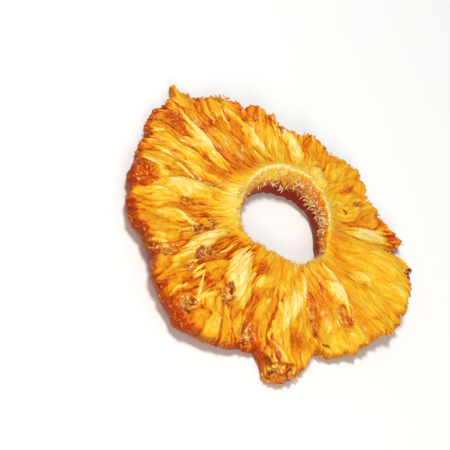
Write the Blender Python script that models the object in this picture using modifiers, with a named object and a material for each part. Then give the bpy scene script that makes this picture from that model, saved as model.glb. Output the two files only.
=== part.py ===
"""A dried pineapple ring, lying flat: a thin wavy sheet of flesh round a raised, fibrous core edge.

Sizes are in millimetres and angles in degrees, about the middle of the hole. Angle 0 is +X and 90 is +Y.
A plain turned blank is made first, and each of its points is then moved to where it lies on the dried fruit.
"""

import bpy
import numpy as np

MM = 0.001
NAME = "pineapple_ring"

# The middle of the hole, with the ring's box centred on the origin.
HOLE_CENTRE = (3.51, 5.84)

# The outer edge seen from above, as (angle, radius): its lobes, points and notches.
OUTLINE = (
    (1, 40.3), (13, 39.6), (20, 41.1), (30, 40.6), (35, 33.4), (40, 37.4), (45, 40.1), (51, 36.8),
    (60, 37.2), (68, 35.7), (74, 37.5), (80, 38.1), (87, 37.0), (94, 34.5), (100, 34.9), (107, 35.9),
    (113, 34.0), (121, 33.1), (123.5, 32.7), (126, 35.6), (134, 38.8), (140, 38.3), (147, 42.6), (155, 43.5),
    (160, 45.0), (164.5, 49.6), (169, 46.2), (181, 45.7), (190, 44.1), (201, 42.7), (213, 44.8), (229, 46.4),
    (241, 43.8), (250, 47.6), (258, 47.9), (264, 49.6), (270, 48.0), (276, 45.6), (283, 43.2), (290, 40.4),
    (292.8, 42.2), (294.8, 46.8), (297, 47.4), (301, 47.0), (304, 45.6), (307, 43.0), (311, 40.0), (315, 37.0),
    (327, 38.8), (337, 38.0), (345, 37.8), (353, 39.8),
)

# The hole at the underside, as (angle, radius).
HOLE = (
    (5, 12.3), (25, 11.0), (45, 11.2), (70, 12.3), (95, 12.2), (125, 11.8), (150, 12.0), (175, 12.0),
    (200, 12.3), (225, 13.6), (245, 14.2), (268, 11.6), (290, 11.0), (320, 12.3), (340, 11.6),
)

# Unevenness, each as cells round the ring, cell length along the radius, height and seed.
EDGE_TEETH = (95, 80.0, 0.6, 21)
CREST_TEETH = (90, 80.0, 0.35, 22)
PLEATS = (13, 60.0, 0.75, 3)
FIBRE_BANDS = (31, 15.0, 0.7, 11)
FIBRES = (95, 9.0, 0.3, 12)
UNDER_FIBRES = (67, 14.0, 0.35, 13)

# The core edge stands up on one side of the hole and leans out there.
CREST_LOW = 4.9
CREST_RISE = 4.9
CREST_ANGLE = 125
CREST_SPREAD = 80
LEAN_LEAST = 1.0
LEAN_MORE = 2.6
LEAN_SPREAD = 75
COLLAR_WIDTH = 3.6

# The sheet of flesh: its three sagging lobes that touch down, its one long fold and its thickest stretch.
THICKNESS = 3.5
THICK_ANGLE = 236
THICK_SPREAD = 34
THICK_MORE = 1.2
UNDER_LEVEL = 1.2
LOBES = 3
LOBE_RISE = 1.65
LOBE_GROWTH = 1.3
FOLD_ANGLE = 31
FOLD_SPREAD = 7
FOLD_RISE = 1.6
FOLD_PEAK = 0.67
EDGE_ROUNDING = 0.4
EDGE_ZONE = 0.07
EDGE_BULGE = 0.5
WALL_CURVE = 2.4

# Pale fibre bundles that stand proud: angle, radius, half length, half width, and degrees of slant per mm.
BUNDLES = (
    (9, 26, 3.0, 1.6, 1.0), (14, 33, 7.0, 2.0, 0.0), (23, 29, 9.0, 2.4, 0.0), (45.5, 28, 5.0, 2.0, -0.1),
    (62, 26, 4.0, 1.4, 0.2), (85, 30, 4.0, 1.0, 0.0), (88, 21.5, 2.0, 1.2, 0.0), (95, 22.5, 2.5, 1.5, 0.0),
    (114.5, 27.5, 4.2, 1.6, 0.4), (119.5, 30, 3.2, 1.7, 1.4), (130.5, 28, 4.0, 1.1, 0.0),
    (141, 27, 4.5, 1.2, 0.5), (144.5, 32.5, 6.5, 0.9, 0.8), (160, 27, 6.0, 1.5, 0.3),
    (173, 31, 6.5, 0.9, -0.35), (176.5, 29.5, 5.5, 1.0, -0.3), (180, 31, 3.5, 0.9, 0.0),
    (188, 34, 6.0, 1.3, 0.1), (211, 30, 8.0, 2.1, 0.75), (228.5, 35, 5.0, 1.2, 0.0),
    (245, 31.5, 8.0, 1.7, 0.5), (266.5, 25, 5.5, 2.3, 0.8), (276, 28.5, 5.0, 1.5, 0.4),
    (288, 27, 6.0, 1.5, 0.0), (300, 36, 5.0, 1.4, 0.0), (305, 26.5, 6.0, 2.1, -1.1),
    (315, 21.5, 4.0, 0.8, -0.75), (327, 31, 6.0, 1.6, 0.0), (341, 23, 2.8, 2.0, 0.0),
    (346, 22, 5.0, 0.8, -0.8),
)
BUNDLE_RISE = 0.7

# Seed pockets and torn hollows: angle, radius, half length, half width and depth.
POCKETS = (
    (6, 26.5, 3.5, 1.0, 0.7), (26.5, 38.6, 1.6, 1.3, 0.9), (65.5, 30.5, 2.8, 1.0, 1.2),
    (99, 30.5, 3.0, 1.0, 0.7), (124.5, 32, 1.6, 1.0, 0.8), (141, 33.5, 3.0, 1.3, 1.0),
    (155, 24.5, 2.8, 1.6, 0.6), (168, 36, 3.2, 1.2, 0.8), (194, 20.5, 1.5, 3.0, 0.5),
    (202, 24, 3.5, 1.3, 0.8), (220, 29, 4.0, 1.0, 0.8), (231, 23.6, 1.2, 2.6, 0.9),
    (236.5, 27.8, 4.0, 1.5, 1.0), (243.5, 41.5, 3.5, 2.0, 1.0), (250, 30.5, 5.0, 1.3, 1.1),
    (252, 37.5, 2.5, 1.2, 0.9), (263, 44.3, 2.8, 1.8, 1.2), (271.5, 32.3, 3.2, 2.1, 1.5),
    (284.5, 39.5, 3.0, 2.0, 1.2), (295, 31, 4.5, 0.9, 0.8), (299, 46.2, 2.2, 3.2, 1.0),
    (318, 27, 4.8, 1.6, 0.8), (336, 29, 4.2, 1.5, 1.0), (353, 33, 3.0, 0.8, 0.6),
)
OVAL_FALLOFF = 1.5

# How much of the fibres' relief there is beside the hole, and how fast it grows outwards from there.
RELIEF_AT_HOLE = 0.15
RELIEF_GROWTH = 1.6

# The blank's grid.
COLUMNS = 190
TOP_ROWS = 14
SIDE_ROWS = 2
UNDER_ROWS = 7
WALL_ROWS = 4
SCREW_MERGE = 0.0001
LATTICE_ROWS = 64


def round_the_ring(points, angle):
    """A value given at some angles, evenly joined all the way round."""
    at = np.array([p[0] for p in points], float)
    value = np.array([p[1] for p in points], float)
    at = np.concatenate([at - 360, at, at + 360])
    return np.interp(np.mod(angle, 360), at, np.tile(value, 3))


def apart(angle, middle):
    """The turn from middle to angle, from -180 to 180."""
    return np.mod(angle - middle + 180, 360) - 180


def hump(angle, middle, spread):
    return np.exp(-((apart(angle, middle) / spread) ** 2))


def uneven(angle, radius, kind):
    """Smooth unevenness with as many cells round the ring, as long and as high as its kind says."""
    cells, length, height, seed = kind
    lattice = np.random.default_rng(seed).uniform(-1, 1, (cells, LATTICE_ROWS))
    u = np.mod(angle, 360) / 360 * cells
    v = radius / length
    iu = np.floor(u).astype(int)
    iv = np.floor(v).astype(int)
    su, sv = ((f * f * (3 - 2 * f)) for f in (u - iu, v - iv))
    this, after = iu % cells, (iu + 1) % cells
    near = lattice[this, iv] * (1 - su) + lattice[after, iv] * su
    far = lattice[this, iv + 1] * (1 - su) + lattice[after, iv + 1] * su
    return height * (near * (1 - sv) + far * sv)


def outline(angle):
    return round_the_ring(OUTLINE, angle) + uneven(angle, np.zeros_like(angle), EDGE_TEETH)


def hole(angle):
    return round_the_ring(HOLE, angle)


def crest_radius(angle):
    return hole(angle) + LEAN_LEAST + LEAN_MORE * hump(angle, CREST_ANGLE, LEAN_SPREAD)


def across(angle, radius):
    """How far out a point lies between the hole, 0, and the outer edge, 1."""
    inner = hole(angle)
    return np.clip((radius - inner) / (outline(angle) - inner), 0, 1)


def inside_oval(angle, radius, oval):
    """1 in the middle of a long oval on the sheet, falling to 0 past its rim."""
    middle, distance, half_length, half_width, *slant = oval
    along = radius - distance
    turn = apart(angle, middle + (slant[0] if slant else 0) * along)
    side = np.radians(turn) * radius
    return np.exp(-(((along / half_length) ** 2 + (side / half_width) ** 2) ** OVAL_FALLOFF))


def underside(angle, radius):
    """The sheet's lower face: it sags to the ground at the lobes, and lies flat there."""
    out = across(angle, radius)
    waves = LOBE_RISE * np.cos(np.radians(LOBES * angle)) + uneven(angle, radius, PLEATS)
    fold = FOLD_RISE * hump(angle, FOLD_ANGLE, FOLD_SPREAD) * np.sin(np.pi / 2 * out / FOLD_PEAK)
    level = UNDER_LEVEL + out**LOBE_GROWTH * waves + fold
    return np.maximum(level, 0)


def under_relief(angle, radius):
    """Fibres of the lower face, which are pressed flat where it touches the ground."""
    clear = np.clip(underside(angle, radius) / UNDER_FIBRES[2], 0, 1)
    return clear * uneven(angle, radius, UNDER_FIBRES)


def relief(angle, radius):
    """Fibre bands, raised bundles and seed pockets of the upper face."""
    strength = np.clip(across(angle, radius) * RELIEF_GROWTH, RELIEF_AT_HOLE, 1)
    height = strength * (uneven(angle, radius, FIBRE_BANDS) + uneven(angle, radius, FIBRES))
    for bundle in BUNDLES:
        height += BUNDLE_RISE * inside_oval(angle, radius, bundle)
    for *oval, depth in POCKETS:
        height -= depth * inside_oval(angle, radius, oval)
    return height


def collar(angle, radius):
    """How far the core edge stands above the sheet."""
    crest = CREST_LOW + CREST_RISE * hump(angle, CREST_ANGLE, CREST_SPREAD) - UNDER_LEVEL - THICKNESS
    crest = crest + uneven(angle, np.zeros_like(angle), CREST_TEETH)
    return crest * np.exp(-np.maximum(radius - crest_radius(angle), 0) / COLLAR_WIDTH)


def upper_face(angle, radius):
    out = across(angle, radius)
    thick = THICKNESS + THICK_MORE * hump(angle, THICK_ANGLE, THICK_SPREAD) * out
    rounding = EDGE_ROUNDING * np.clip((out - 1 + EDGE_ZONE) / EDGE_ZONE, 0, 1) ** 2
    return underside(angle, radius) + thick - rounding + collar(angle, radius) + relief(angle, radius)


def dried(angle, t, h):
    """Where a point of the blank lies: t is 0 at the hole and 1 at the edge, and h is 0 below and 1 above."""
    edge = outline(angle)
    low_radius = hole(angle) + t * (edge - hole(angle))
    high_radius = crest_radius(angle) + t * (edge - crest_radius(angle))
    low = underside(angle, low_radius) + under_relief(angle, low_radius)
    high = upper_face(angle, high_radius)
    radius = low_radius + (high_radius - low_radius) * h**WALL_CURVE + EDGE_BULGE * t * np.sin(np.pi * h)
    x = HOLE_CENTRE[0] + radius * np.cos(np.radians(angle))
    y = HOLE_CENTRE[1] + radius * np.sin(np.radians(angle))
    return np.column_stack([x, y, low + (high - low) * h])


def steps(first, last, count):
    """Evenly spaced values from first up to, and without, last."""
    return [first + (last - first) * i / count for i in range(count)]


def turned_blank():
    """A square-section ring from radius 1 to 2, whose grid the fruit's surface takes over."""
    section = [(t, 1) for t in steps(0, 1, TOP_ROWS)]
    section += [(1, h) for h in steps(1, 0, SIDE_ROWS)]
    section += [(t, 0) for t in steps(1, 0, UNDER_ROWS)]
    section += [(0, h) for h in steps(0, 1, WALL_ROWS)]
    profile = bpy.data.meshes.new("section")
    loop = [(i, (i + 1) % len(section)) for i in range(len(section))]
    profile.from_pydata([(1 + t, 0, h) for t, h in section], loop, [])
    blank = bpy.data.objects.new("blank", profile)
    bpy.context.scene.collection.objects.link(blank)
    turn = blank.modifiers.new("turn", "SCREW")
    turn.steps = turn.render_steps = COLUMNS
    turn.use_merge_vertices = True
    turn.merge_threshold = SCREW_MERGE
    bpy.context.view_layer.update()
    turned = blank.evaluated_get(bpy.context.evaluated_depsgraph_get())
    mesh = bpy.data.meshes.new_from_object(turned)
    bpy.data.objects.remove(blank)
    bpy.data.meshes.remove(profile)
    return mesh


def shape(mesh):
    """Moves every point of the blank to its place on the dried ring."""
    points = np.empty(len(mesh.vertices) * 3)
    mesh.vertices.foreach_get("co", points)
    x, y, h = points.reshape(-1, 3).T
    angle = np.degrees(np.arctan2(y, x))
    t = np.clip(np.hypot(x, y) - 1, 0, 1)
    placed = dried(angle, t, np.clip(h, 0, 1)) * MM
    mesh.vertices.foreach_set("co", placed.ravel())
    mesh.update()


def flesh_material():
    material = bpy.data.materials.new("dried_flesh")
    material.use_nodes = True
    shader = material.node_tree.nodes["Principled BSDF"]
    shader.inputs["Base Color"].default_value = (0.85, 0.38, 0.03, 1)
    shader.inputs["Roughness"].default_value = 0.45
    shader.inputs["Subsurface Weight"].default_value = 0.2
    material.diffuse_color = (0.85, 0.38, 0.03, 1)
    return material


def main():
    for old in list(bpy.data.objects):
        bpy.data.objects.remove(old)
    collection = bpy.data.collections.new("dried_pineapple")
    bpy.context.scene.collection.children.link(collection)
    mesh = turned_blank()
    mesh.name = NAME
    shape(mesh)
    mesh.shade_smooth()
    mesh.materials.append(flesh_material())
    collection.objects.link(bpy.data.objects.new(NAME, mesh))


main()
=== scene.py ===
"""The looks of one dried pineapple ring on a pale floor: fibrous flesh, a torn edge and a pale core rim.

Sizes are in millimetres and angles in degrees, about the middle of the hole, unless a name says otherwise.
Angle 0 is +X and 90 is +Y. The skin repeats the solid's own shape on a finer grid and adds the fine relief.
"""

import math
from collections import namedtuple

import bpy
import numpy as np
from mathutils import Matrix, Vector


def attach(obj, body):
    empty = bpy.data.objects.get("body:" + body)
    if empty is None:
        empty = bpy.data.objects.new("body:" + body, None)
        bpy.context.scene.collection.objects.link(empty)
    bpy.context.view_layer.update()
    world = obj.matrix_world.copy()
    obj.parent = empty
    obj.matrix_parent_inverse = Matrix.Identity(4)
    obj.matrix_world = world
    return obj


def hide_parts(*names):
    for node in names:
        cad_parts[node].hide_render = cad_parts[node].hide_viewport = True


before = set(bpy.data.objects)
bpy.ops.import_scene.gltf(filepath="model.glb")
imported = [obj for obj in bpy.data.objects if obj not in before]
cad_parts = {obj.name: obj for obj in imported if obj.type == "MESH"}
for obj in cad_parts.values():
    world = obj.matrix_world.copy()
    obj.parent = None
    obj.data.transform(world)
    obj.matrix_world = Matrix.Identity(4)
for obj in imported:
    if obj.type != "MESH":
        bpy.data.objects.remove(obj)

MM = 0.001
NODE = "pineapple_ring"
SLOT = "dried_flesh"

# The solid's own sizes and tables, as its source has them.
HOLE_CENTRE = (3.51, 5.84)
OUTLINE = (
    (1, 40.3), (13, 39.6), (20, 41.1), (30, 40.6), (35, 33.4), (40, 37.4), (45, 40.1), (51, 36.8),
    (60, 37.2), (68, 35.7), (74, 37.5), (80, 38.1), (87, 37), (94, 34.5), (100, 34.9), (107, 35.9),
    (113, 34), (121, 33.1), (123.5, 32.7), (126, 35.6), (134, 38.8), (140, 38.3), (147, 42.6), (155, 43.5),
    (160, 45), (164.5, 49.6), (169, 46.2), (181, 45.7), (190, 44.1), (201, 42.7), (213, 44.8), (229, 46.4),
    (241, 43.8), (250, 47.6), (258, 47.9), (264, 49.6), (270, 48), (276, 45.6), (283, 43.2), (290, 40.4),
    (292.8, 42.2), (294.8, 46.8), (297, 47.4), (301, 47), (304, 45.6), (307, 43), (311, 40), (315, 37),
    (327, 38.8), (337, 38), (345, 37.8), (353, 39.8),
)
HOLE = (
    (5, 12.3), (25, 11), (45, 11.2), (70, 12.3), (95, 12.2), (125, 11.8), (150, 12), (175, 12), (200, 12.3),
    (225, 13.6), (245, 14.2), (268, 11.6), (290, 11), (320, 12.3), (340, 11.6),
)

# Unevenness, each as cells round the ring, cell length along the radius, height and seed.
EDGE_TEETH = (95, 80.0, 0.6, 21)
CREST_TEETH = (90, 80.0, 0.35, 22)
PLEATS = (13, 60.0, 0.75, 3)
FIBRE_BANDS = (31, 15.0, 0.7, 11)
FIBRES = (95, 9.0, 0.3, 12)
UNDER_FIBRES = (67, 14.0, 0.35, 13)

CREST_LOW = 4.9
CREST_RISE = 4.9
CREST_ANGLE = 125
CREST_SPREAD = 80
LEAN_LEAST = 1.0
LEAN_MORE = 2.6
LEAN_SPREAD = 75
COLLAR_WIDTH = 3.6
THICKNESS = 3.5
THICK_ANGLE = 236
THICK_SPREAD = 34
THICK_MORE = 1.2
UNDER_LEVEL = 1.2
LOBES = 3
LOBE_RISE = 1.65
LOBE_GROWTH = 1.3
FOLD_ANGLE = 31
FOLD_SPREAD = 7
FOLD_RISE = 1.6
FOLD_PEAK = 0.67
EDGE_ROUNDING = 0.4
EDGE_ZONE = 0.07
EDGE_BULGE = 0.5
WALL_CURVE = 2.4
BUNDLE_RISE = 0.7
OVAL_FALLOFF = 1.5
RELIEF_AT_HOLE = 0.15
RELIEF_GROWTH = 1.6
LATTICE_ROWS = 64

# The next tables hold long ovals on the sheet, each with angle, radius, half length, half width and more.
# Pale fibre bundles: degrees of slant for each mm, and how pale.
BUNDLES = (
    (9, 26, 3, 1.6, 1, 0.6), (14, 33, 7, 2, 0, 0.15), (23, 29, 9, 2.4, 0, 0.15),
    (45.5, 28, 5, 2, -0.1, 0.9), (62, 26, 4, 1.4, 0.2, 0.1), (85, 30, 4, 1, 0, 0.35),
    (88, 21.5, 2, 1.2, 0, 0.6), (95, 22.5, 2.5, 1.5, 0, 0.6), (114.5, 27.5, 4.2, 1.6, 0.4, 1),
    (119.5, 30, 3.2, 1.7, 1.4, 0.9), (130.5, 28, 4, 1.1, 0, 0.4), (141, 27, 4.5, 1.2, 0.5, 1),
    (144.5, 32.5, 6.5, 0.9, 0.8, 0.35), (160, 27, 6, 1.5, 0.3, 0.25), (173, 31, 6.5, 0.9, -0.35, 1),
    (176.5, 29.5, 5.5, 1, -0.3, 0.9), (180, 31, 3.5, 0.9, 0, 0.7), (188, 34, 6, 1.3, 0.1, 0.4),
    (211, 30, 8, 2.1, 0.75, 0.8), (228.5, 35, 5, 1.2, 0, 0.55), (245, 31.5, 8, 1.7, 0.5, 0.95),
    (266.5, 25, 5.5, 2.3, 0.8, 1), (276, 28.5, 5, 1.5, 0.4, 0.6), (288, 27, 6, 1.5, 0, 0.1),
    (300, 36, 5, 1.4, 0, 0.35), (305, 26.5, 6, 2.1, -1.1, 0.85), (315, 21.5, 4, 0.8, -0.75, 1),
    (327, 31, 6, 1.6, 0, 0.15), (341, 23, 2.8, 2, 0, 1), (346, 22, 5, 0.8, -0.8, 1),
)

# Seed pockets and torn hollows: depth, and how brown.
POCKETS = (
    (6, 26.5, 3.5, 1, 0.7, 0.3), (26.5, 38.6, 1.6, 1.3, 0.9, 1), (65.5, 30.5, 2.8, 1, 1.2, 0.5),
    (99, 30.5, 3, 1, 0.7, 0.1), (124.5, 32, 1.6, 1, 0.8, 0.5), (141, 33.5, 3, 1.3, 1, 0.45),
    (155, 24.5, 2.8, 1.6, 0.6, 0.3), (168, 36, 3.2, 1.2, 0.8, 0.35), (194, 20.5, 1.5, 3, 0.5, 0.3),
    (202, 24, 3.5, 1.3, 0.8, 0.75), (220, 29, 4, 1, 0.8, 0.55), (231, 23.6, 1.2, 2.6, 0.9, 0.8),
    (236.5, 27.8, 4, 1.5, 1, 0.8), (243.5, 41.5, 3.5, 2, 1, 0.75), (250, 30.5, 5, 1.3, 1.1, 1),
    (252, 37.5, 2.5, 1.2, 0.9, 0.6), (263, 44.3, 2.8, 1.8, 1.2, 0.9), (271.5, 32.3, 3.2, 2.1, 1.5, 1),
    (284.5, 39.5, 3, 2, 1.2, 0.8), (295, 31, 4.5, 0.9, 0.8, 0.3), (299, 46.2, 2.2, 3.2, 1, 0),
    (318, 27, 4.8, 1.6, 0.8, 0.5), (336, 29, 4.2, 1.5, 1, 0.5), (353, 33, 3, 0.8, 0.6, 0.1),
)

# Deep orange, jelly-like patches: how deep their colour is.
JELLY = (
    (211, 42, 4.8, 6, 1), (206, 43, 3.6, 3.5, 1), (216, 43.5, 3, 3.2, 0.9), (175, 40.5, 4.5, 4.2, 0.9),
    (243.5, 41.8, 4.2, 3, 0.8), (129, 34, 3, 2.6, 0.6), (65, 31, 3, 1.2, 0.8), (74.5, 29, 3.8, 1.7, 0.8),
    (181, 28, 4, 1, 0.7), (256, 20, 3, 3.6, 0.6), (279, 18.5, 2.4, 2.4, 0.7), (321, 23, 1.8, 1.6, 0.8),
    (284.5, 40, 4.5, 2, 0.6), (41, 34, 2.2, 3.6, 0.3), (190, 20.5, 2, 7, 0.5), (306.5, 35.5, 4, 2.8, 0.6),
    (184, 36, 6, 1.6, 0.4),
)

# Small dark specks: how dark.
SPECKS = (
    (61.5, 22.5, 0.35, 1.1, 1), (37, 27, 0.8, 0.3, 0.9), (320.5, 36, 0.4, 0.9, 0.9),
    (27.5, 39.9, 1.5, 1.8, 1), (152, 34, 0.3, 0.6, 0.8), (285, 42.5, 0.5, 0.8, 1), (316, 29, 0.6, 0.3, 0.8),
    (317, 33, 0.5, 0.3, 0.8), (219, 31, 2, 0.25, 0.5), (252, 27, 1.2, 0.3, 0.8), (65, 36, 0.5, 0.3, 0.8),
    (124, 32.4, 0.9, 0.4, 0.8), (272, 31.5, 1, 0.8, 0.8), (246, 43.5, 0.5, 0.9, 0.7),
    (265, 46.5, 0.6, 0.9, 0.8), (296, 46.8, 0.9, 1.3, 0.9), (303, 45.2, 0.8, 1, 0.7),
    (294.5, 43.3, 0.9, 0.7, 0.9),
)

# Broad stretches: a tone above 0 where the flesh is yellower, and below 0 where it is more orange.
STRETCHES = (
    (15, 23, 8, 9, 0.4), (11, 33, 8, 5, 0.6), (26, 31, 7, 4, 0.5), (352, 27, 8, 5, 0.4),
    (322, 37, 4, 9, 0.6), (268, 43, 5, 5, 0.6), (211, 33, 7, 4, 0.5), (148, 36, 6, 5, 0.3),
    (165, 44, 4, 3, 0.3), (188, 35, 6, 4, 0.3), (303, 20, 5, 10, 0.4), (118, 29, 5, 5, 0.4),
    (84, 30, 5, 3, 0.2), (57, 27, 7, 3.5, -0.7), (105, 28, 6, 4, -0.3), (40, 33.5, 3, 3, -0.4),
    (4, 27, 2.5, 1.5, -0.8), (130, 33, 4, 3, -0.8), (146, 28, 3, 1.5, -0.6), (160, 22, 5, 6, -0.5),
    (190, 22, 5, 6, -0.9), (223, 30, 8, 3, -0.6), (232, 24, 2, 3, -0.8), (256, 20, 4, 5, -0.7),
    (279, 19, 3, 3, -0.6), (243, 39, 4, 2.5, -0.8), (287, 38, 5, 3.5, -0.8), (306.5, 35.5, 4.5, 3, -0.8),
    (333, 29, 5, 2.2, -0.7), (294.5, 32, 7, 1, -0.6), (256, 28, 8, 3, -0.5), (316, 30, 6, 1, -0.6),
    (175, 40, 5, 5, -0.6), (258, 38, 4, 2.5, -0.5), (80, 31, 8, 18, 0.6), (38, 27, 6, 5, 0.4),
    (12, 33, 9, 9, 0.4), (350, 33, 6, 5, 0.5), (145, 34, 9, 15, 0.35), (267, 25, 5, 5, 0.4),
)

# Where the flesh is smooth: how smooth.
CALM = (
    (12, 28, 16, 15, 1), (352, 24, 9, 7, 0.9), (92, 22, 8, 17, 0.8), (308, 18, 5, 11, 0.8),
    (190, 21, 5, 7, 0.8), (55, 24, 9, 6, 0.7), (306.5, 35.5, 5, 4, 0.9), (322, 37, 3, 8, 0.7),
    (105, 30, 6, 6, 0.5), (75, 31, 9, 16, 0.8), (40, 30, 9, 7, 0.9), (345, 34, 6, 6, 0.7),
)

# Where masks begin and where they are full.
HOLLOW_RIM = (0.15, 0.5)
JELLY_RIM = (0.3, 0.6)
SPECK_RIM = (0.2, 0.6)
PALE_RIM = (-1.0, -0.7)
FLANK_RIM = (-1.7, -1.3)
SHADOW_LINE_RIM = (-3.2, -2.0)
CORE_RIM = (-1.7, -0.1)
CREASE_RIM = (0.06, 0.16)

# Painted shade in creases: how much deeper the colour is in them, for each mm, up to what depth, how brown
# the deepest are, how much of them shows, how much that varies, and how much of them a calm place hides.
CREASE_SHADE = 1.4
CREASE_LIMIT = 0.1
CREASE_SHADE_BROWN = 0.28
CREASES_SHOWN = 0.45
CREASES_VARY = 1.8
CALM_HIDES = 0.8

# Colour levels, from 0 for deep orange to 1 for the pale core: the middle, the range before the pale parts
# are added, how far some things move it, and the level that others bring it to.
BASE_LEVEL = 0.54
LEVEL_RANGE = (0.14, 0.78)
TONE_SHIFT = 0.165
CLOUD_SHIFT = 0.25
# Painted shadow: how far a line round the pale bundles deepens the colour, how much shows and how it varies.
SHADOW_LINE_SHIFT = 0.25
SHADOW_LINE_SHOWN = 0.5
SHADOW_LINE_VARIES = 2
# Painted shade: how much deeper the rim of the upper face is on the red side, and where it begins.
EDGE_SHADE_SHIFT = 0.24
EDGE_SHADE_FROM = 0.965
# Painted shade: how much deeper the tone is at the seams between plump cells.
SEAM_SHADE = 1.4
LEAST_CELL_TONE = 0.25
JELLY_LEVEL = 0.1
STRAND_LEVEL = 0.92
FLANK_LEVEL = 0.74
PALE_LEVEL = 0.97
CORE_LEVEL = 0.93
CREST_LEVEL = 1.25
# The side's level, and how much painted shade lowers it on the red side.
SIDE_LEVEL = 0.55
SIDE_SHADE_SHIFT = 0.3
UNDER_COLOUR = 0.42
UNDER_CLOUDS = 0.3
UNDER_SIDE = 0.5

# The wall's colour level at its foot, each gain up the hole with the heights where it sets in, where the dark
# foot ends, how brown the wall is, and how much paler its knots are. The low, dark wall is painted shade over
# its own deep red, and the paler knots are painted highlights.
WALL_LEVEL = 0.12
WALL_MIDDLE = (0.18, 0.4, 0.8)
WALL_TOP = (0.65, 0.87, 1)
WALL_SHADE_TO = (0.3, 0.5)
WALL_BROWN = 0.3
KNOT_HIGHLIGHT = 0.9

# The brightest part of the wall: angle and spread, the heights where it begins, and its gain.
SUNLIT_AT = (150, 38)
SUNLIT_FROM = (0.5, 0.65)
SUNLIT_SHIFT = 0.45

# The pale core: angles and spreads where it shows and where it is wide, its widths, and its edge's fray.
CORE_AT = ((110, 75), (208, 40))
CORE_WIDE_AT = ((98, 28), (208, 30))
CORE_WIDTH = 1.5
CORE_WIDER = 5.0
CORE_FRAY = 0.6

# How many white glints, which are painted highlights, brown and jelly-like flesh have.
BROWN_GLINTS = 1.5
JELLY_GLINTS = 0.8

# The fine relief, each kind with the same four numbers as the solid's unevenness.
WANDER = (18, 12, 3, 34)
RAGGED_TURN = (60, 3, 1.3, 44)
RAGGED_REACH = (80, 4, 0.9, 45)
SWELLS = (40, 8, 0.35, 46)
FINE_RIDGES = (330, 6, 0.07, 32)
GRAIN = (400, 0.9, 0.04, 33)
FRAY = (110, 6, 0.5, 47)
FINE_FRAY = (400, 3, 0.5, 48)
CLOUDS = (22, 11, 0.5, 49)
DEEPER = (24, 8, 0.5, 50)
EDGE_NICKS = ((130, 80, 0.6, 41), (290, 80, 0.5, 42))
LUMPS = (230, 1.1, 0.22, 35)
WALL_STRANDS = (110, 2.4, 0.35, 36)
WALL_KNOTS = (260, 0.8, 0.3, 37)
SIDE_LAYERS = (90, 0.9, 0.25, 38)
CREST_BEADS = (240, 80, 0.24, 39)

# How far from the crest its pale line and its beads reach.
CREST_LINE = 0.6
BEAD_REACH = 0.5

# How far in the torn edge lies, how torn its foot is, and a stretch that stands out and a narrow notch, with
# angle, spread and reach. They fade inwards with these powers of the way out from the hole.
EDGE_INSET = 0.4
LOW_TEAR = 0.25
LIP = (265, 20, 1.7)
NOTCH = (35, 1.8, 2.4)
LIP_FALLOFF = 12
NOTCH_FALLOFF = 6

# How the relief grows away from the crest, and what rough and calm places and bundles make of it.
RUGGED_FROM = 8
LEAST_RUGGED = 0.1
CALM_RELIEF = 0.75
SWELLS_FROM = 5
HOLLOW_ROUGH = 1.2
TIP_ROUGH = 2
ROUGHEST = 1.5
ROUGH_FLATTENS = 0.5
BUNDLE_REACH = (1.1, 1.25)
STEADINESS = 0.6
FLANK_RISE = 0.2
PALE_RISE = 0.25
OUTLINED_DIP = 0.2

# The knots of the wall: the heights where they begin and fade, how much they fade and where round the hole.
# Its strands twist by that many degrees for each mm of height.
KNOTS_FROM = (0.2, 0.45)
KNOTS_TO = (0.7, 0.95)
KNOTS_FADE = 0.7
KNOTS_FADE_AT = (135, 60)
STRAND_TWIST = 2.5

# Where the outer side is reddest, its own red deepened there with painted shade, and how red it is elsewhere.
RED_SHADE_AT = 225
RED_SHADE_SPREAD = 75
LEAST_RED_SHADE = 0.35

# Plump cells of flesh: how many round the ring, length, height, seed, width of the seams, change of tone.
CELLS = ((38, 17, 0.45, 61, 0.3, 0.9), (84, 8.5, 0.3, 62, 0.6, 0.9), (190, 5, 0.1, 63, 0.6, 0.5))
CELL_STEP = 0.5
CELL_MIDDLES = (0.1, 0.9)

# Long strands laid over the upper face at random, some of them pale.
STRAND_COUNT = 260
STRAND_SEED = 51
STRAND_LENGTH = (1.2, 4.5)
STRAND_WIDTH = (0.22, 0.7)
STRAND_RISE = (0.12, 0.35)
STRAND_SLANT = 0.9
STRAND_PLACES = (0.2, 0.95)
PALE_SHARE = 0.4

# Loose fibres: how flat each kind is, how blunt its ends are, and how much its heading and curl vary. The
# seed that places it is greater by PLACING.
Kind = namedtuple("Kind", "piece material roughness seed lengths half_widths flatness blunt heading curl")
FRAYED = Kind("frayed_fibres", "frayed_fibre", 0.15, 71, (0.4, 1.2), (0.08, 0.17), 0.7, 1, 40, 90)
HAIRS = Kind("surface_fibres", "loose_fibre", 0.3, 72, (2.5, 7.0), (0.05, 0.09), 0.8, 1, 14, 30)
SHREDS = Kind("edge_shreds", "torn_flesh", 0.25, 73, (0.6, 1.8), (0.15, 0.6), 0.5, 2, 38, 40)
RIM_TEETH = Kind("rim_teeth", "core_fibre", 0.25, 74, (0.4, 1.1), (0.08, 0.2), 0.6, 1, 45, 50)
WALL_DROPS = Kind("wall_drops", "wall_glint_fibre", 0.08, 75, (0.5, 1.9), (0.07, 0.26), 0.7, 1, 50, 90)
TIP_CURLS = Kind("tip_curls", "browned_strip", 0.3, 76, (1.2, 3.0), (0.3, 0.65), 0.55, 4, 30, 130)
RIM_FRINGE = Kind("rim_fringe", "fringe_fibre", 0.2, 77, (0.8, 2.6), (0.07, 0.17), 0.7, 1, 28, 50)
PLACING = 10
FRAYED_PER_AREA = 2.2
FRAYED_SCATTER = (0.55, 0.6)
FRAYED_LIFT = 0.35
HAIR_COUNT = 45
HAIR_ANGLES = (135, 350)
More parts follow.
